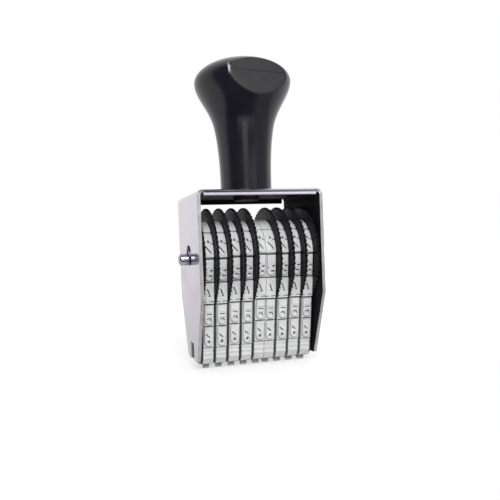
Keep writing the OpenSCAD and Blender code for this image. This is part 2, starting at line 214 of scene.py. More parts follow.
def cutEdge():
    # sheared edge of the sheet, duller than its plated faces
    material, tree, shader, place = newMaterial("cutEdge", {"Metallic": 0.45})
    tone = colourRamp(tree, noiseAt(tree, place, 3, 4), [
        (0.3, (0.31, 0.315, 0.32)), (0.7, (0.45, 0.455, 0.45))])
    tree.links.new(tone, shader.inputs["Base Color"])
    shear = noiseAt(tree, place, 0.4, 3)
    tree.links.new(mapRange(tree, shear, 0.3, 0.7, 0.3, 0.5), shader.inputs["Roughness"])
    bumpOn(tree, shader, shear, 0.2, 0.03)
    return material


handleLook = {
    # the mould's parting line across the dull facet, with a small gate mark
    "partingZ": 86.55, "partingWidth": 0.2,
    "gateX": 1.3, "gateZ": 86.7, "gateSize": (0.7, 0.5),
    # a painted highlight: a pale glint on the facet's left corner
    "glintX": -7.5, "glintZ": 87.0, "glintSize": (0.45, 2.4), "glintFront": (-12, -11),
}


def glossBlack():
    look = handleLook
    material, tree, shader, place = newMaterial("glossBlack", {"Specular IOR Level": 0.4})
    tone = colourRamp(tree, noiseAt(tree, place, 6, 4), [
        (0.3, (0.0055, 0.0047, 0.009)), (0.7, (0.009, 0.0078, 0.0135))])
    at = axes(tree, place)
    toFacet = {0: place, 1: facetNormal}
    out = addNode(tree, "ShaderNodeVectorMath", toFacet, operation="DOT_PRODUCT").outputs["Value"]
    onFacet = mapRange(tree, out, (facetAt - 0.3) * mm, (facetAt - 0.05) * mm, 0, 1)
    parting = nearValue(tree, at["Z"], look["partingZ"], look["partingWidth"])
    wide, high = look["gateSize"]
    gate = calc(tree, "MULTIPLY", nearValue(tree, at["X"], look["gateX"], wide),
                nearValue(tree, at["Z"], look["gateZ"], high))
    mark = calc(tree, "MULTIPLY", calc(tree, "MAXIMUM", parting, gate), onFacet)
    dull = colourRamp(tree, noiseAt(tree, place, 4, 4), [
        (0.3, (0.016, 0.0155, 0.0185)), (0.7, (0.024, 0.0235, 0.0275))])
    worn = mixColour(tree, onFacet, tone, dull)
    # painted shade: the parting line and gate mark are darkened along their dent
    groovesShaded = mixColour(tree, mark, worn, (0.004, 0.004, 0.005, 1))
    # painted highlight: a pale glint on the facet's left corner, broken into speckles
    wide, high = look["glintSize"]
    paintedGlint = calc(tree, "MULTIPLY", nearValue(tree, at["X"], look["glintX"], wide),
                  nearValue(tree, at["Z"], look["glintZ"], high))
    front, back = look["glintFront"]
    paintedGlint = calc(tree, "MULTIPLY", paintedGlint, mapRange(tree, at["Y"], front * mm, back * mm, 1, 0))
    glintSpeckle = mapRange(tree, noiseAt(tree, place, 0.8, 2), 0.4, 0.5, 0.3, 1)
    colour = mixColour(tree, calc(tree, "MULTIPLY", paintedGlint, glintSpeckle), groovesShaded, (0.5, 0.5, 0.54, 1))
    tree.links.new(colour, shader.inputs["Base Color"])
    cloud = mapRange(tree, noiseAt(tree, place, 9, 5), 0.35, 0.7, 0.16, 0.27)
    gloss = calc(tree, "ADD", cloud, calc(tree, "MULTIPLY", onFacet, 0.24))
    tree.links.new(gloss, shader.inputs["Roughness"])
    peel = bumpOn(tree, shader, noiseAt(tree, place, 1.6, 2), 0.06, 0.05)
    bumpOn(tree, shader, calc(tree, "MULTIPLY", mark, -1.0), 0.5, 0.1, peel)
    return material


def satinBlack(name, low, high, rough, grain):
    # low and high are its darkest and palest tones, grain is in mm
    material, tree, shader, place = newMaterial(name, {"Specular IOR Level": 0.09})
    tone = colourRamp(tree, noiseAt(tree, place, 2.5, 4), [(0.3, low), (0.7, high)])
    tree.links.new(tone, shader.inputs["Base Color"])
    mottle = noiseAt(tree, place, 0.7, 3)
    tree.links.new(mapRange(tree, mottle, 0.3, 0.7, rough[0], rough[1]), shader.inputs["Roughness"])
    bumpOn(tree, shader, noiseAt(tree, place, grain, 2), 0.25, 0.04)
    return material


def paleRubber():
    material, tree, shader, place = newMaterial("paleRubber", {"Specular IOR Level": 0.35})
    tone = colourRamp(tree, noiseAt(tree, place, 3.5, 5), [
        (0.3, (0.535, 0.54, 0.54)), (0.6, (0.60, 0.605, 0.60))])
    # painted shade: narrow recesses between the strokes and walls that face down the band are darkened
    paintedShadeAmount = addNode(tree, "ShaderNodeAttribute", attribute_name="paintedShadeAmount").outputs["Fac"]
    patch = noiseAt(tree, place, 0.8, 3)
    paintedShadeMix = calc(tree, "MULTIPLY", mapRange(tree, paintedShadeAmount, 0.2, 0.9, 0, 1, True),
                mapRange(tree, patch, 0.3, 0.7, 0.75, 0.95))
    tree.links.new(mixColour(tree, paintedShadeMix, tone, (0.07, 0.07, 0.075, 1)), shader.inputs["Base Color"])
    tree.links.new(mapRange(tree, patch, 0.3, 0.7, 0.5, 0.64), shader.inputs["Roughness"])
    bumpOn(tree, shader, noiseAt(tree, place, 0.18, 3), 0.2, 0.03)
    return material


def turnedSteel(name, low, high, rough, pitch):
    material, tree, shader, place = newMaterial(name, {"Metallic": 1.0})
    tone = colourRamp(tree, noiseAt(tree, place, 1.4, 3), [(0.3, low), (0.7, high)])
    tree.links.new(tone, shader.inputs["Base Color"])
    rings = noiseAt(tree, place, pitch, 3, (1, 60, 60))
    tree.links.new(mapRange(tree, rings, 0.3, 0.7, rough[0], rough[1]), shader.inputs["Roughness"])
    bumpOn(tree, shader, rings, 0.3, 0.02)
    return material


# mesh helpers

def addPiece(name, points, faces, material, sharpFrom=40):
    mesh = bpy.data.meshes.new(name)
    mesh.from_pydata([tuple(p) for p in np.asarray(points, float) * mm], [], faces)
    mesh.validate()
    return meshPiece(name, mesh, material, sharpFrom)


def meshPiece(name, mesh, material, sharpFrom=40):
    piece = bpy.data.objects.new(name, mesh)
    bpy.context.scene.collection.objects.link(piece)
    mesh.materials.append(material)
    mesh.shade_smooth()
    mesh.set_sharp_from_angle(angle=math.radians(sharpFrom))
    return piece


def meshFrom(work, name):
    # turns a work mesh in mm into a mesh in metres
    bmesh.ops.scale(work, vec=(mm, mm, mm), verts=work.verts)
    mesh = bpy.data.meshes.new(name)
    work.to_mesh(mesh)
    work.free()
    return mesh


def roundEdges(piece, width, segments, fromDeg):
    edge = piece.modifiers.new("edge", "BEVEL")
    edge.width = width * mm
    edge.segments = segments
    edge.limit_method = "ANGLE"
    edge.angle_limit = math.radians(fromDeg)
    return edge


def fitPiece(piece, body, slot, *replaced):
    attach(piece, body)
    if replaced:
        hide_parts(*replaced)
    return piece


def gridFaces(rows, columns, closedRows=False, closedColumns=False):
    faces = []
    for i in range(rows if closedRows else rows - 1):
        for j in range(columns if closedColumns else columns - 1):
            a, b = i * columns, (i + 1) % rows * columns
            c, d = j, (j + 1) % columns
            faces.append((a + c, a + d, b + d, b + c))
    return faces


def prism(outline, low, high):
    # outline in Y and Z, counter-clockwise seen from the right, drawn out along X
    count = len(outline)
    points = [(x, y, z) for x in (low, high) for y, z in outline]
    faces = [(i, (i + 1) % count, count + (i + 1) % count, count + i) for i in range(count)]
    return points, faces + [tuple(range(count))[::-1], tuple(range(count, 2 * count))]


def arcPoints(centre, radius, fromDeg, toDeg, steps):
    turns = np.radians(np.linspace(fromDeg, toDeg, steps + 1))
    return [(centre[0] + radius * math.cos(a), centre[1] + radius * math.sin(a)) for a in turns]


def cubic(a, b, c, d, steps):
    t = np.linspace(0, 1, steps + 1)[:, None]
    a, b, c, d = (np.array(p, float) for p in (a, b, c, d))
    return (1 - t) ** 3 * a + 3 * (1 - t) ** 2 * t * b + 3 * (1 - t) * t * t * c + t ** 3 * d


# frame

frameSize = {
    "width": 37.5, "depth": 30, "top": 52.3, "low": 2.6, "sheet": 1.0,
    "bend": 1.9, "lipBend": 1.5, "lipHeight": 1.85, "backLip": 2.4,
    "kink": 22, "kinkRise": 0.5, "kinkDrop": 0.35, "kinkInset": 0.08,   # where the sides start to narrow
    "footDepth": 14, "footCorner": 1.2,
    "slotWidth": 4.4, "slotHeight": 5,
    "axleHole": 1.8, "screwHole": 2.1,
    "edgeRound": 0.14,
}


def bracketHalfDepth(z):
    # the lip's bend also rounds the top of the side plates
    s = frameSize
    over = z - (s["top"] - s["lipBend"])
    if over <= 0:
        return s["depth"] / 2
    return s["depth"] / 2 - s["lipBend"] + math.sqrt(max(s["lipBend"] ** 2 - over ** 2, 0))


def buildFrame(outside, inside, cut):
    s = frameSize
    w, d, top = s["width"] / 2, s["depth"] / 2, s["top"]
    bendZ = top - s["bend"]
    work = bmesh.new()

    def face(points):
        work.faces.new([work.verts.new(p) for p in points])

    for side in (-1, 1):
        hole = s["axleHole"]
        upper = ([(-d, axleZ)] + arcPoints((0, axleZ), hole, 180, 0, 16)
                 + [(d, axleZ), (d, bendZ), (0, bendZ), (-d, bendZ)])
        footC = s["footDepth"] / 2 - s["footCorner"]
        footZ = s["low"] + s["footCorner"]
        slot = s["slotWidth"] / 2
        slotTop = s["low"] + s["slotHeight"]
        kinkUp, kinkLow, kinkD = s["kink"] + s["kinkRise"], s["kink"] - s["kinkDrop"], d - s["kinkInset"]
        # the foot's corners start 10 degrees round, because the sides slant in towards them
        lower = ([(d, axleZ)] + arcPoints((0, axleZ), hole, 0, -180, 16)
                 + [(-d, axleZ), (-d, kinkUp), (-kinkD, kinkLow)]
                 + arcPoints((-footC, footZ), s["footCorner"], 190, 270, 6)
                 + [(-slot, s["low"]), (-slot, slotTop), (slot, slotTop), (slot, s["low"])]
                 + arcPoints((footC, footZ), s["footCorner"], 270, 350, 6)
                 + [(kinkD, kinkLow), (d, kinkUp)])
        for outline in (upper, lower):
            face([(side * w, y, z) for y, z in outline])
        turns = np.radians(np.linspace(0, 90, 11))
        for a, b in zip(turns, turns[1:]):
            for front in (-1, 1):
                row = []
                for turn in (a, b):
                    x = side * (w - s["bend"] + s["bend"] * math.cos(turn))
                    z = bendZ + s["bend"] * math.sin(turn)
                    row.append([(x, 0, z), (x, front * bracketHalfDepth(z), z)])
                face([row[0][0], row[0][1], row[1][1], row[1][0]])
    flat = w - s["bend"]
    webD = d - s["lipBend"]
    for front in (-1, 1):
        rim = arcPoints((0, 0), s["screwHole"], 0, 180, 16)
        face([(flat, 0, top)] + [(x, front * y, top) for x, y in rim]
             + [(-flat, 0, top), (-flat, front * webD, top), (flat, front * webD, top)])
        lip = [(webD + s["lipBend"] * math.sin(a), top - s["lipBend"] * (1 - math.cos(a)))
               for a in np.radians(np.linspace(0, 90, 9))]
        lip.append((d, top - s["lipHeight" if front < 0 else "backLip"]))
        for (y0, z0), (y1, z1) in zip(lip, lip[1:]):
            face([(-flat, front * y0, z0), (flat, front * y0, z0),
                  (flat, front * y1, z1), (-flat, front * y1, z1)])
    bmesh.ops.remove_doubles(work, verts=work.verts, dist=0.001)
    bmesh.ops.recalc_face_normals(work, faces=work.faces)
    work.faces.ensure_lookup_table()
    upmost = max(work.faces, key=lambda f: f.calc_center_median().z)
    if upmost.normal.z < 0:
        bmesh.ops.reverse_faces(work, faces=work.faces)
    mesh = meshFrom(work, "bentBracket")
    piece = meshPiece("bentBracket", mesh, outside)
    # the inner side takes the painted shade material
    mesh.materials.append(inside)
    mesh.materials.append(cut)
    sheet = piece.modifiers.new("sheet", "SOLIDIFY")
    sheet.thickness = s["sheet"] * mm
    sheet.use_even_offset = True
    sheet.material_offset = 1
    sheet.material_offset_rim = 2
    roundEdges(piece, s["edgeRound"], 2, 38).harden_normals = True
    return fitPiece(piece, "stamp", "bright_steel", "frame")


# handle

handleSize = {
    "foot": frameSize["top"], "height": 40.5, "bore": 3.6, "stem": 7.8, "neck": 9.2, "neckZ": 20,
    "knob": 14.75, "knobZ": 33.5, "edge": 0.4, "tip": 0.15,
    "neckSlope": 0.21, "flarePull": 0.43, "bellyPull": 0.29, "domePull": 0.53, "crownPull": 0.59,
    "facetOff": 11.6, "facetTurn": 7.8, "facetLean": 7.6, "facetRound": 0.3,
    "turns": 288,
}
lean = math.radians(handleSize["facetLean"])
turnedBy = math.radians(handleSize["facetTurn"])
facetNormal = Vector((
    math.cos(lean) * math.sin(turnedBy), -math.cos(lean) * math.cos(turnedBy), math.sin(lean)))
facetAt = handleSize["facetOff"] + facetNormal.z * (handleSize["foot"] + handleSize["knobZ"])


def handleProfile():
    s = handleSize
    neck, belly = np.array([s["neck"], s["neckZ"]]), np.array([s["knob"], s["knobZ"]])
    run, rise = s["knobZ"] - s["neckZ"], s["height"] - s["knobZ"]
    flare = np.array([s["neckSlope"], 1]) * run * s["flarePull"]
    foot = arcPoints((s["stem"] - s["edge"], s["edge"]), s["edge"], -90, 0, 5)
    stem = cubic(foot[-1], (s["stem"], s["neckZ"] / 3), neck - flare, neck, 36)
    bell = cubic(neck, neck + flare, (s["knob"], s["knobZ"] - run * s["bellyPull"]), belly, 40)
    dome = cubic(belly, (s["knob"], s["knobZ"] + rise * s["domePull"]),
                 (s["knob"] * s["crownPull"], s["height"]), (s["tip"], s["height"]), 44)
    return np.vstack([[(s["bore"], 0)], foot, stem[1:], bell[1:], dome[1:]])


def buildHandle(material):
    s = handleSize
    profile = handleProfile()
    turns = np.linspace(0, 2 * math.pi, s["turns"], endpoint=False)
    points = [(r * math.cos(a), r * math.sin(a), z + s["foot"]) for r, z in profile for a in turns]
    faces = gridFaces(len(profile), s["turns"], closedColumns=True)
    last = (len(profile) - 1) * s["turns"]
    faces.append(tuple(range(last, last + s["turns"])))
    work = bmesh.new()
    verts = [work.verts.new(p) for p in points]
    for f in faces:
        work.faces.new([verts[i] for i in f])
    # the knob is cut flat at the facet, with a small round along the rim
    soft = s["facetRound"]
    for step in (-1, -0.5, 0, 0.5, 1):
        bmesh.ops.bisect_plane(work, geom=work.verts[:] + work.edges[:] + work.faces[:], dist=0.002,
                               plane_co=facetNormal * (facetAt + step * soft), plane_no=facetNormal)
    for v in work.verts:
        out = v.co.dot(facetNormal) - facetAt
        if out > -soft:
            kept = 0 if out >= soft else -(soft - out) ** 2 / (4 * soft)
            v.co -= facetNormal * (out - kept)
    bmesh.ops.recalc_face_normals(work, faces=work.faces)
    piece = meshPiece("knobHandle", meshFrom(work, "knobHandle"), material, 60)
    return fitPiece(piece, "stamp", "handle_plastic", "handle")


# type bands

bandSize = {
    "width": 3.0, "thick": 1.0,
    # heights over the band: fine face, block under it, low cell round it, blanks, place under the nose
    "type": 1.6, "face": 1.48, "cell": 1.0, "blank": 0.6, "pad": 0.3,
    "digit": 4.2, "digitWidth": 2.05, "stroke": 0.5, "drop": 0.4, "foot": 1.28, "straight": 0.3,
    "groove": 0.16, "rib": 0.12, "ribs": 4, "ribWidth": 0.5,
    "drum": 8.8, "nose": 1.83, "noseFlat": 4.2,
    "places": [7, -1, 6, 5, 4, 3, 2, 1, -2, -2, -2, -2, 0, 9, 8],    # -1 ribbed, -2 blank
    "step": 0.1, "blankStep": 0.3, "blankEdge": 0.6, "columns": 31,
    # how far the front of each band sits down from its exact place
    "sag": [1.45, 1.5, 1.2, 1.3, 0.8, 0.9, 1.0, 0.9, 1.15],
    "sagPlaces": (1, 2, 7, 12),         # it starts, is full, starts to fade and is gone at these places
}


def bandPath():
    # corners, lengths and radii of the band's middle line
    s = bandSize
    noseZ = s["type"] + s["thick"] + s["nose"]
    half = s["noseFlat"] / 2
    drop = axleZ - noseZ
    slope = math.atan2(drop, half) - math.acos((s["drum"] - s["nose"]) / math.hypot(half, drop))
    noseR, drumR = s["nose"] + s["thick"] / 2, s["drum"] + s["thick"] / 2
    turn = math.pi / 2 - slope
    start = np.array([-half - noseR * math.cos(slope), noseZ - noseR * math.sin(slope)])
    end = np.array([-drumR * math.cos(slope), axleZ - drumR * math.sin(slope)])
    side = np.linalg.norm(end - start)
    length = 2 * (half + noseR * turn + side) + drumR * (math.pi + 2 * slope)
    return {"noseZ": noseZ, "half": half, "noseR": noseR, "drumR": drumR, "turn": turn,
            "start": start, "end": end, "side": side, "length": length}


bandLine = bandPath()


def alongBand(s):
    # place and outward direction in Y and Z at the length s
    p = bandLine
    s = s % p["length"]
    if s > p["length"] / 2:
        (y, z), (ny, nz) = alongBand(p["length"] - s)
        return (-y, z), (-ny, nz)
    if s <= p["half"]:
        return (-s, p["noseZ"] - p["noseR"]), (0, -1)
    s -= p["half"]
    if s <= p["noseR"] * p["turn"]:
        a = s / p["noseR"]
        return ((-p["half"] - p["noseR"] * math.sin(a), p["noseZ"] - p["noseR"] * math.cos(a)),
                (-math.sin(a), -math.cos(a)))
    s -= p["noseR"] * p["turn"]
    if s <= p["side"]:
        y, z = p["start"] + (p["end"] - p["start"]) * s / p["side"]
        return (y, z), (-math.sin(p["turn"]), -math.cos(p["turn"]))
    a = p["turn"] + (s - p["side"]) / p["drumR"]
    return ((-p["drumR"] * math.sin(a), axleZ - p["drumR"] * math.cos(a)),
            (-math.sin(a), -math.cos(a)))


farOff = 9.0            # a distance beyond any stroke


def digitStrokes(n):
    # an upright digit as ovals (y, half height, cut-away box) and bars (x0, y0, x1, y1)
    b = (bandSize["digitWidth"] - bandSize["stroke"]) / 2
    h = (bandSize["digit"] - bandSize["stroke"]) / 4
    whole = (farOff, farOff, farOff, farOff)        # cuts nothing away
    left = (-farOff, -h, 0, h)
    ovals = {
        0: [(0, 2 * h, whole)],
        2: [(h, h, (-farOff, -farOff, farOff, 0.75 * h))],
        3: [(h, h, left), (-h, h, left)],
        5: [(-0.85 * h, 1.15 * h, (-farOff, -0.85 * h, 0, farOff))],
        6: [(-h, h, whole)],
        8: [(h, h, whole), (-h, h, whole)],
        9: [(h, h, whole)],
    }.get(n, [])
    bars = {
        1: [(0, -2 * h, 0, 2 * h), (0, 2 * h, -0.8 * b, 1.3 * h)],
        2: [(b, h, -b, -2 * h), (-b, -2 * h, b, -2 * h), (-0.9 * b, 0.75 * h, -0.55 * b, 0.5 * h)],
        3: [(-0.2 * b, 0, 0.2 * b, 0)],
        4: [(0.85 * b, -2 * h, 0.85 * b, 2 * h), (-1.2 * b, -h, b, -h), (-1.2 * b, -h, 0.5 * b, 2 * h)],
        5: [(-b, 0.3 * h, 0, 0.3 * h), (-b, 0.3 * h, -b, 2 * h), (-b, 2 * h, 0.9 * b, 2 * h)],
        6: [(-b, -h, -b, 0.4 * h), (-b, 0.4 * h, 0.6 * b, 2 * h)],
        7: [(-0.8 * b, 2 * h, 0.8 * b, 2 * h), (0.8 * b, 2 * h, -0.3 * b, -2 * h)],
        9: [(b, h, b, -0.4 * h), (b, -0.4 * h, -0.6 * b, -2 * h)],
    }.get(n, [])
    return b, ovals, bars


def strokeDistance(n, u, v):
    # distance to the middle line of the digit's nearest stroke, whose ends are flat
    b, ovals, bars = digitStrokes(n)
    best = np.full(u.shape, farOff)
    for y, half, (x0, y0, x1, y1) in ovals:
        past = np.maximum(np.abs(v - y) - (half - b), 0)
        inCut = (u > x0) & (u < x1) & (v > y0) & (v < y1)
        best = np.minimum(best, np.where(inCut, farOff, np.abs(np.hypot(u, past) - b)))
    for x0, y0, x1, y1 in bars:
        long = math.hypot(x1 - x0, y1 - y0)
        dx, dy = (x1 - x0) / long, (y1 - y0) / long
        along = (u - x0) * dx + (v - y0) * dy
        across = (v - y0) * dx - (u - x0) * dy
        best = np.minimum(best, np.maximum(np.abs(across), np.maximum(-along, along - long)))
    return best


# pits and creases left open in the block under each digit, as lines (x0, y0, x1, y1, half width)
digitPits = {
    0: [(0, -0.95, 0, 0.95, 0.3)],
    2: [(-0.26, 1.3, -0.2, 1.36, 0.24), (-1.4, 0.75, -0.95, 0.95, 0.08),
        (0.65, 0.05, -0.75, -1.55, 0.08)],
    3: [(-1.0, 0.5, -0.5, 0.55, 0.2), (-0.75, -1.0, -0.2, -0.95, 0.2), (1.4, 0, 0.75, 0.05, 0.09)],
    4: [(0.45, 1.8, -0.35, -0.3, 0.09), (-0.42, -0.4, 0.0, -0.4, 0.1),
        (-1.4, -2.0, -0.3, -2.0, 0.14), (1.4, -2.0, 1.05, -2.0, 0.12)],
    5: [(-0.65, 0.8, 0.5, 0.85, 0.12), (0.5, -0.75, 0.1, -0.45, 0.12),
        (0.1, -0.45, -0.55, -0.6, 0.13), (-0.55, -0.6, -0.6, -1.1, 0.12)],
    6: [(0, -1.05, 0, -0.85, 0.34), (0.8, 1.3, -0.25, 0.4, 0.08)],
    8: [(0, -1.05, 0, -0.85, 0.33), (0, 0.85, 0, 1.05, 0.33)],
    9: [(0, 1.05, 0, 0.85, 0.34), (-0.8, -1.3, 0.25, -0.4, 0.08)],
}


reliefSize = {
    "slope": 0.12,                          # run of the slopes at grooves, ribs and blocks
    "margin": (0.08, 0.16),                 # a block rises this far inside its place
    "printSlope": (0.05, 0.2),              # a printing digit falls off this far outside its strokes
    "faceSlope": (-0.1, 0.15),              # and the face of the others, down to its block
    "pitSlope": (-0.08, 0.06), "pitFloor": 0.45,    # the floor as a share of the block's height
    "roundFoot": (0, 3, 5, 6, 8, 9),        # digits whose block ends round
    "bodySlack": 0.1, "topSlack": 0.05,
}


def pitDistance(n, u, v):
    # distance to the edge of the nearest pit, below 0 inside it
    best = np.full(u.shape, farOff)
    for x0, y0, x1, y1, half in digitPits.get(n, []):
        dx, dy = x1 - x0, y1 - y0
        t = np.clip(((u - x0) * dx + (v - y0) * dy) / (dx * dx + dy * dy), 0, 1)
        best = np.minimum(best, np.hypot(u - x0 - t * dx, v - y0 - t * dy) - half)
    return best


def blockDistance(n, u, v):
    # distance inside the block's lower edge, which is round under bowls and straight under the rest
    b, r = digitStrokes(n)[0], bandSize["foot"]
    low = b - (bandSize["digit"] - bandSize["stroke"]) / 2
    if n in reliefSize["roundFoot"]:
        body = v > low
        return np.where(body, r - np.abs(u), r - np.hypot(u, v - low)) + reliefSize["bodySlack"] * body
    return v - (low - r - bandSize["straight"])


def cellEdges(sag):
    # lower edge of each place along the band, and the upper edge of the last one
    count = len(bandSize["places"])
    i = np.arange(count + 1)
    share = np.interp(i, bandSize["sagPlaces"], [0, 1, 1, 0])
    return (i - 0.5) * bandLine["length"] / count - sag * share


def typeHeight(s, x, edges):
    # height over the band at the length s and the place x across it
    b, r = bandSize, reliefSize
    place = np.clip(np.searchsorted(edges, s, side="right") - 1, 0, len(b["places"]) - 1)
    cell = edges[place + 1] - edges[place]
    local = s - (edges[place] + edges[place + 1]) / 2
    fromEdge = cell / 2 - np.abs(local)
    base = np.array([b["blank"] if kind < 0 else b["cell"] for kind in b["places"]])
    base[0] = b["pad"]          # the place under the nose, whose digit prints, stands free
    pad = base[place] * np.clip((fromEdge - b["groove"] / 2) / r["slope"] + 0.5, 0, 1)
    printEdge = b["stroke"] / 2 + np.array(r["printSlope"])
    faceEdge = b["stroke"] / 2 + np.array(r["faceSlope"])
    for n in range(10):
        here = place == b["places"].index(n)
        u, v = -x[here], local[here] + b["drop"]
        away = strokeDistance(n, u, v)
        if n == 7:
            body = np.interp(away, printEdge, [b["type"], 0])
        else:
            inside = blockDistance(n, u, v)
            block = np.interp(inside, [0, r["slope"]], [0, b["face"]])
            block *= np.interp(fromEdge[here], r["margin"], [0, 1])
            block *= np.interp(pitDistance(n, u, v), r["pitSlope"], [r["pitFloor"], 1])
            face = np.interp(away, faceEdge, [b["type"], b["face"]])
            body = np.where(block > b["face"] - r["topSlack"], np.maximum(face, block), block)
            pad[here] = np.where(inside > r["slope"], 0, pad[here])
        pad[here] = np.maximum(pad[here], body)
    ribbed = place == b["places"].index(-1)
    wave = np.abs((local / cell * b["ribs"] + b["ribs"] / 2) % 1 - 0.5) * cell / b["ribs"]
    rib = b["rib"] * np.clip((b["ribWidth"] / 2 - wave) / r["slope"] + 0.5, 0, 1)
    return np.where(ribbed, pad + rib, pad)


def bandRows(edges):
    # fine rows over digits and grooves, wide ones on the blanks
    b = bandSize
    rows = []
    for kind, low, high in zip(b["places"], edges, edges[1:]):
        if kind == -2:
            rim = b["blankEdge"]
            edge = np.arange(0, rim, b["step"])
            inner = np.arange(rim, high - low - rim, b["blankStep"])
            rows += list(low + edge) + list(low + inner) + list(high - rim + edge)
        else:
            rows += list(np.linspace(low, high, int((high - low) / b["step"]), endpoint=False))
    return np.array(rows)


# where painted shade darkens a band: recesses and walls that face down
recessShade = {"reach": 2, "deep": 0.38, "downSlope": 4, "sideSlope": 7, "walls": 0.9}


def cavityOf(height):
    # how far a point lies below its surroundings, 1 in the narrowest recesses
    reach = recessShade["reach"]

    def soft(field, axis):
        total = np.zeros_like(field)
        for i in range(-reach, reach + 1):
            if axis == 0:
                total += np.roll(field, i, 0)
            else:
                total += field[:, np.clip(np.arange(field.shape[1]) + i, 0, field.shape[1] - 1)]
        return total / (2 * reach + 1)

    around = height
    for axis in (0, 1, 0, 1):
        around = soft(around, axis)
    return np.clip((around - height) / recessShade["deep"], 0, 1)


def lowerWalls(height, lengths, across):
    # 1 on the steep walls that face down the band, less on side walls
    down = np.gradient(height, lengths, axis=0)
    side = np.abs(np.gradient(height, across, axis=1))
    return np.clip(np.maximum(down / recessShade["downSlope"], side / recessShade["sideSlope"]), 0, 1)


def buildBand(k, middle, material):
    b = bandSize
    edges = cellEdges(b["sag"][k - 1])
    lengths = bandRows(edges)
    rows = len(lengths)
    across = np.linspace(-b["width"] / 2, b["width"] / 2, b["columns"])
    s, x = np.meshgrid(lengths, across, indexing="ij")
    height = typeHeight(s, x, edges)
    line = [alongBand(v) for v in lengths]
    place = np.array([p for p, n in line])
    out = np.array([n for p, n in line])
    top = place[:, None, :] + out[:, None, :] * (b["thick"] / 2 + height)[..., None]
    under = place - out * b["thick"] / 2
    ring = np.zeros((rows, b["columns"] + 2, 3))
    ring[:, 1:-1, 0] = middle + x
    ring[:, 1:-1, 1:] = top
    ring[:, 0, 0], ring[:, -1, 0] = middle - b["width"] / 2, middle + b["width"] / 2
    ring[:, 0, 1:] = ring[:, -1, 1:] = under
    piece = addPiece("typeBand%d" % k, ring.reshape(-1, 3),
                     gridFaces(rows, b["columns"] + 2, closedRows=True, closedColumns=True), material, 64)
    # painted shade for the rubber's colour, deepest in narrow recesses and on walls that face down
    paintedShadeAmount = np.zeros((rows, b["columns"] + 2))
    walls = lowerWalls(height, lengths, across) * (s > edges[1])        # the printing place gets no painted shade on its walls
    paintedShadeAmount[:, 1:-1] = np.maximum(cavityOf(height), recessShade["walls"] * walls)
    layer = piece.data.attributes.new("paintedShadeAmount", "FLOAT", "POINT")
    layer.data.foreach_set("value", paintedShadeAmount.ravel())
    return fitPiece(piece, "stamp", "band_rubber", "band_%d" % k)


# thumb wheels

wheelSize = {
    "radius": 15.05, "flange": 0.75, "teeth": 60, "notch": 0.55, "bore": 1.81,
    "drum": 8.72, "wall": 1.3, "boss": 3.2, "spokes": 6, "spoke": 0.9, "room": 3.05,
    "gap": 0.1, "chamfer": 0.14, "serration": 0.06, "serrated": (12.5, 14.7),
    "plainRings": (3.4, 8.3, 9.7, 11.6, 12.2), "sunk": (9.7, 11.6), "sunkBy": 0.12,
    "drumEdge": 0.12, "bossEdge": 0.15,
    "overlap": 0.05, "spokeOverlap": 0.2,       # how far drum, boss and spokes go into what holds them
    "perTooth": 12, "leftCount": 5, "count": 9,
}


def wheelStart(k):
    w = wheelSize
    step = w["flange"] + w["room"] + w["gap"]
    return -(w["count"] * step - w["gap"]) / 2 + (k - 1) * step


def bandMiddle(k):
    w = wheelSize
    return wheelStart(k) + (w["flange"] if k <= w["leftCount"] else 0) + w["room"] / 2


def turnedRing(inner, outer, low, high, edge, steps):
    # closed ring round X with chamfered edges, as points and faces
    outline = [(inner, high), (outer - edge, high), (outer, high - edge),
               (outer, low + edge), (outer - edge, low), (inner, low)]
    turns = np.linspace(0, 2 * math.pi, steps, endpoint=False)
    points = [(x, r * math.cos(a), r * math.sin(a)) for a in turns for r, x in outline]
    return points, gridFaces(steps, len(outline), closedRows=True, closedColumns=True)


def joinParts(parts):
    points, faces = [], []
    for partPoints, partFaces in parts:
        start = len(points)
        points.extend(partPoints)
        faces.extend([tuple(start + i for i in f) for f in partFaces])
    return points, faces


def toothedFlange():
    # closed rows round the axle: out over one face, over the teeth and back over the other face
    w = wheelSize
    face, chamfer = w["flange"], w["chamfer"]
    steps = w["teeth"] * w["perTooth"]
    phase = np.linspace(0, 2 * math.pi, steps, endpoint=False)
    away = (phase * w["teeth"] / (2 * math.pi) % 1 - 0.5) * 2 * math.pi / w["teeth"] * w["radius"]
    rim = w["radius"] - np.sqrt(np.clip(w["notch"] ** 2 - away ** 2, 0, None))
    groove = 0.5 + 0.5 * np.cos(phase * w["teeth"] + math.pi)
    low, high = w["serrated"]
    sunkFrom, sunkTo = w["sunk"]

    def ring(radius, x):
        radius, x = np.broadcast_to(radius, phase.shape), np.broadcast_to(x, phase.shape)
        return np.stack([x, radius * np.cos(phase), radius * np.sin(phase)], 1)

    def depth(r):
        # serrations next to the rim, and a plain part that lies a little lower
        return w["serration"] * groove * (low < r < high) + w["sunkBy"] * (sunkFrom <= r <= sunkTo)

    radii = [w["bore"], *w["plainRings"], low, low + 0.25, (low + high) / 2, high - 0.35]
    # distance in from the teeth's edge and depth under the face, from the face to the chamfer's end
    shoulder = [(0.2, 0.02), (0.6 * chamfer, 0.05), (0, 1.3 * chamfer)]
    rows = [ring(r, depth(r)) for r in radii]
    rows += [ring(rim - inset, x) for inset, x in shoulder]
    rows += [ring(rim - inset, face - x) for inset, x in reversed(shoulder)]
    rows += [ring(r, face - depth(r)) for r in reversed(radii)]
    return np.vstack(rows), gridFaces(len(rows), steps, closedRows=True, closedColumns=True)


def spokeBar(angle, low, high):
    w = wheelSize
    inner, outer, half = w["boss"] - w["spokeOverlap"], w["drum"] - w["wall"] / 2, w["spoke"] / 2
    c, s = math.cos(angle), math.sin(angle)
    corners = ((inner, -half), (outer, -half), (outer, half), (inner, half))
    return prism([(r * c - t * s, r * s + t * c) for r, t in corners], low, high)


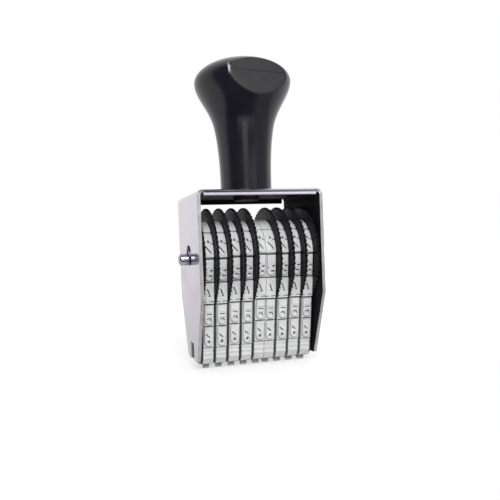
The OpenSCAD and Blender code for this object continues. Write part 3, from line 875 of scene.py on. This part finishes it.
def buildWheel(k, turn, material):
    w = wheelSize
    low, high = w["flange"] - w["overlap"], w["flange"] + w["room"]
    points, faces = joinParts(
        [toothedFlange(),
         turnedRing(w["drum"] - w["wall"], w["drum"], low, high, w["drumEdge"], 128),
         turnedRing(w["bore"], w["boss"], low, high, w["bossEdge"], 64)]
        + [spokeBar(i * 2 * math.pi / w["spokes"], low, high) for i in range(w["spokes"])])
    points = np.array(points, float)
    y, z = points[:, 1].copy(), points[:, 2].copy()
    points[:, 1] = y * math.cos(turn) - z * math.sin(turn)
    points[:, 2] = y * math.sin(turn) + z * math.cos(turn) + axleZ
    if k > w["leftCount"]:
        points[:, 0] = w["flange"] + w["room"] - points[:, 0]
        faces = [f[::-1] for f in faces]
    points[:, 0] += wheelStart(k)
    piece = addPiece("thumbWheel%d" % k, points, faces, material, 34)
    return fitPiece(piece, "thumb_wheel_%d" % k, "wheel_plastic", "wheel_%d" % k)


# bridge under the bands

bridgeSize = {
    "gap": 0.08, "top": 16.9, "bodyWidth": 35.3,
    "fin": 0.55, "finHeight": 1.1, "finTop": 18, "saddle": 15.25,
    "tongueWidth": 36.7, "tongueLow": 2.78, "tongueHigh": 7.5, "tongueDepth": 2.1,
    "notch": 0.35, "notched": (1, 3), "tongueSteps": 5,
    "pathReach": 22, "edgeRound": 0.06,
}


def bridgeOutline(offset, top, saddle=None):
    # the band's path moved inwards, closed by a flat top or by an arc round the wheels
    reach = bridgeSize["pathReach"]
    line = [alongBand(s) for s in np.linspace(-reach, reach, 160)]
    points = [(y + ny * offset, z + nz * offset) for (y, z), (ny, nz) in line if z < top]
    if saddle:
        edge = abs(points[0][0])
        points += [(y, axleZ - math.sqrt(saddle ** 2 - y * y)) for y in np.linspace(-edge, edge, 24)]
    return points[::-1]


def buildBridge(material):
    b, w = bridgeSize, wheelSize
    inside = -bandSize["thick"] / 2
    half = b["bodyWidth"] / 2
    parts = [prism(bridgeOutline(inside - b["gap"], b["top"]), -half, half)]
    fin = bridgeOutline(inside + b["finHeight"], b["finTop"], b["saddle"])
    for k in range(1, w["count"] + 1):
        middle = wheelStart(k) + w["flange"] / 2 + (0 if k <= w["leftCount"] else w["room"])
        parts.append(prism(fin, middle - b["fin"] / 2, middle + b["fin"] / 2))
    rise, d = (b["tongueHigh"] - b["tongueLow"]) / b["tongueSteps"], b["tongueDepth"]
    for i in range(b["tongueSteps"]):
        reach = b["tongueWidth"] / 2 - (b["notch"] if i in b["notched"] else 0)
        low = b["tongueLow"] + i * rise
        parts.append(prism([(-d, low), (d, low), (d, low + rise), (-d, low + rise)], -reach, reach))
    points, faces = joinParts(parts)
    piece = addPiece("guideBridge", points, faces, material, 34)
    roundEdges(piece, b["edgeRound"], 1, 50)
    return fitPiece(piece, "stamp", "bridge_plastic", "bridge")


# axle and its clips

axleSize = {
    "radius": 1.75, "stub": 3.1, "groove": 1.35,
    "chamfer": 0.45, "edge": 0.06, "fineEdge": 0.04, "tip": 0.02, "turns": 96,
    "clipSeat": 0.05, "clipThick": 0.3, "clipRadius": 2.15, "clipTop": 4.2, "clipEye": 3.55,
    "clipMouth": 2.2, "clipEdge": 0.05,
}


def buildAxle(material):
    a = axleSize
    end = frameSize["width"] / 2 + a["stub"]
    grooveIn = frameSize["width"] / 2
    grooveOut = grooveIn + a["clipThick"] + 2 * a["clipSeat"]
    r, c, e, f = a["radius"], a["chamfer"], a["edge"], a["fineEdge"]
    # one end of the pin, from the tip inwards
    half = [(end, a["tip"]), (end, r - c - e), (end - e / 2, r - c), (end - c, r - f), (end - c - e - f, r),
            (grooveOut + e, r), (grooveOut, r - e), (grooveOut, a["groove"]),
            (grooveIn, a["groove"]), (grooveIn, r - f), (grooveIn - f, r)]
    outline = [(-x, q) for x, q in half] + half[::-1]
    turns = np.linspace(0, 2 * math.pi, a["turns"], endpoint=False)
    points = [(x, q * math.cos(t), axleZ + q * math.sin(t)) for x, q in outline for t in turns]
    faces = gridFaces(len(outline), a["turns"], closedColumns=True)
    last = (len(outline) - 1) * a["turns"]
    faces += [tuple(range(a["turns"]))[::-1], tuple(range(last, last + a["turns"]))]
    piece = addPiece("wheelAxle", points, faces, material, 30)
    return fitPiece(piece, "stamp", "axle_steel", "axle")


def archPoints(base, tip, steps):
    # one side of a pointed arch, from (base, 0) up to (0, tip)
    back = (tip ** 2 - base ** 2) / (2 * base)
    return arcPoints((-back, 0), base + back, 0, math.degrees(math.asin(tip / (base + back))), steps)


def clipOutline():
    # spring clip whose legs grip the groove, its pointed arch up and its open side down
    a = axleSize
    outer, inner = a["clipRadius"], a["groove"] + a["clipSeat"]
    foot = math.degrees(math.asin(a["clipMouth"] / 2 / outer))
    grip = math.degrees(math.asin(a["clipMouth"] / 2 / inner))
    outside = arcPoints((0, 0), outer, -90 + foot, 0, 14) + archPoints(outer, a["clipTop"], 20)[1:]
    inside = arcPoints((0, 0), inner, -90 + grip, 0, 12) + archPoints(inner, a["clipEye"], 18)[1:]
    return (outside + [(-y, z) for y, z in outside[-2::-1]]
            + [(-y, z) for y, z in inside[:-1]] + inside[::-1])


def buildClip(name, side, replaced, material):
    a = axleSize
    inside = frameSize["width"] / 2 + a["clipSeat"]
    low, high = sorted((side * inside, side * (inside + a["clipThick"])))
    points, faces = prism([(y, z + axleZ) for y, z in clipOutline()], low, high)
    piece = addPiece(name, points, faces, material)
    roundEdges(piece, a["clipEdge"], 2, 50)
    return fitPiece(piece, "stamp", "clip_steel", replaced)


def coat(node, material):
    # a CAD node that shows as it is, with a finish of its own
    mesh = nodes[node].data
    mesh.materials.clear()
    mesh.materials.append(material)


# make everything

buildFrame(brightPlate(), shadedInnerPlate(), cutEdge())
print("frame made")

buildHandle(glossBlack())
print("handle made")

rubber = paleRubber()
for k in range(1, wheelSize["count"] + 1):
    buildBand(k, bandMiddle(k), rubber)
print("bands made")

wheelBlack = satinBlack(
    "wheelBlack", (0.0045, 0.004, 0.0075), (0.0095, 0.0085, 0.0145), (0.34, 0.5), 0.35)
turnDraw = np.random.default_rng(5)
for k in range(1, wheelSize["count"] + 1):
    buildWheel(k, turnDraw.uniform(0, 2 * math.pi / wheelSize["teeth"]), wheelBlack)
print("wheels made")

buildAxle(turnedSteel("turnedSteel", (0.30, 0.31, 0.35), (0.42, 0.43, 0.47), (0.14, 0.26), 0.25))
bluedSpring = turnedSteel("bluedSpring", (0.06, 0.055, 0.09), (0.14, 0.14, 0.20), (0.2, 0.34), 0.8)
buildClip("clipLeft", -1, "axle_clip_left", bluedSpring)
buildClip("clipRight", 1, "axle_clip_right", bluedSpring)
buildBridge(satinBlack("bridgeGrey", (0.035, 0.035, 0.037), (0.06, 0.059, 0.063), (0.42, 0.58), 0.5))
turnedBrass = turnedSteel("turnedBrass", (0.62, 0.44, 0.17), (0.74, 0.56, 0.25), (0.22, 0.36), 0.4)
coat("handle_insert", turnedBrass)
# painted shade: the screw head under the web is coated dull near black to stand in for the shade there
screwShadeBlack = satinBlack("screwShadeBlack", (0.016, 0.016, 0.019), (0.034, 0.033, 0.038), (0.6, 0.8), 0.4)
coat("handle_screw", screwShadeBlack)
print("axle, clips, bridge and fastening made")


# studio

studio = {
    "sky": 0.6,                     # plain light from all round
    "dark": 0.1, "side": 0.5,       # what mirrors see in front of the object, to the left and to the right
    "sideSpan": (0.2, 0.55), "backSpan": (-0.15, 0.2),      # directions over which side and back come in
    # what is seen of the floor on top of its own colour, near and far, and the share of it that mirrors see
    "floorLift": (0.55, 0.85), "floorMirror": 0.75,
    "floorFar": 0.35, "floorSize": 3.0, "floorFront": -0.03,        # in metres
}


def buildFloor():
    material, tree, shader, place = newMaterial("paleFloor", {"Roughness": 0.6})
    tone = colourRamp(tree, noiseAt(tree, place, 60, 3), [
        (0.3, (0.44, 0.44, 0.44)), (0.7, (0.46, 0.46, 0.46))])
    tree.links.new(tone, shader.inputs["Base Color"])
    path = addNode(tree, "ShaderNodeLightPath").outputs
    mirror = calc(tree, "MAXIMUM", path["Is Glossy Ray"], path["Is Transmission Ray"])
    mirrored = calc(tree, "MULTIPLY", mirror, studio["floorMirror"])
    seen = calc(tree, "MAXIMUM", path["Is Camera Ray"], mirrored)
    shader.inputs["Emission Color"].default_value = (1, 1, 1, 1)
    away = addNode(tree, "ShaderNodeVectorMath", {0: place}, operation="LENGTH").outputs["Value"]
    near, far = studio["floorLift"]
    lift = mapRange(tree, away, 0, studio["floorFar"], near, far)
    tree.links.new(calc(tree, "MULTIPLY", seen, lift), shader.inputs["Emission Strength"])
    size, front = studio["floorSize"], studio["floorFront"]
    corners = [(-size, front, 0), (size, front, 0), (size, size, 0), (-size, size, 0)]
    mesh = bpy.data.meshes.new("studioFloor")
    mesh.from_pydata(corners, [], [(0, 1, 2, 3)])
    mesh.materials.append(material)
    floor = bpy.data.objects.new("studioFloor", mesh)
    bpy.context.scene.collection.objects.link(floor)


def buildWorld():
    world = bpy.data.worlds.new("studioWorld")
    world.use_nodes = True
    bpy.context.scene.world = world
    tree = world.node_tree
    tree.nodes.clear()
    way = axes(tree, addNode(tree, "ShaderNodeTexCoord").outputs["Generated"])
    front = mapRange(tree, way["X"], *studio["sideSpan"], studio["dark"], studio["side"], True)
    shade = mapRange(tree, way["Y"], *studio["backSpan"], front, 1.0, True)
    grey = addNode(tree, "ShaderNodeCombineColor", {0: shade, 1: shade, 2: shade}).outputs[0]
    seen = addNode(tree, "ShaderNodeBackground", {"Color": grey, "Strength": 1.0})
    light = addNode(tree, "ShaderNodeBackground", {"Color": (1, 1, 1, 1), "Strength": studio["sky"]})
    white = addNode(tree, "ShaderNodeBackground", {"Color": (1, 1, 1, 1), "Strength": 1.0})
    path = addNode(tree, "ShaderNodeLightPath").outputs
    mirror = calc(tree, "MAXIMUM", path["Is Glossy Ray"], path["Is Transmission Ray"])
    first = addNode(tree, "ShaderNodeMixShader", {0: mirror, 1: light.outputs[0], 2: seen.outputs[0]})
    second = addNode(tree, "ShaderNodeMixShader", {
        0: path["Is Camera Ray"], 1: first.outputs[0], 2: white.outputs[0]})
    addNode(tree, "ShaderNodeOutputWorld", {"Surface": second.outputs[0]})


lamps = {
    "keyLamp": {"power": 1.75, "place": (-60, -400, 300), "size": (240, 240), "aim": (0, 0, 40)},
    "frontLamp": {"power": 0.11, "place": (-112, -487, 30), "size": (170, 150), "aim": (0, 0, 40)},
    "lowLamp": {"power": 0.14, "place": (-60, -420, -40), "size": (520, 110), "aim": (0, 0, 25)},
    "fillLamp": {"power": 0.225, "place": (136, -444, 220), "size": (230, 260), "aim": (0, 0, 40)},
}


def addLamp(name, setup):
    data = bpy.data.lights.new(name, "AREA")
    data.energy = setup["power"]
    data.shape = "RECTANGLE"
    data.size, data.size_y = (side * mm for side in setup["size"])
    lamp = bpy.data.objects.new(name, data)
    lamp.location = Vector(setup["place"]) * mm
    lamp.rotation_euler = (Vector(setup["aim"]) * mm - lamp.location).to_track_quat("-Z", "Y").to_euler()
    bpy.context.scene.collection.objects.link(lamp)


buildFloor()
buildWorld()
for name, setup in lamps.items():
    addLamp(name, setup)
bpy.context.scene.view_settings.view_transform = "Standard"
print("studio set")
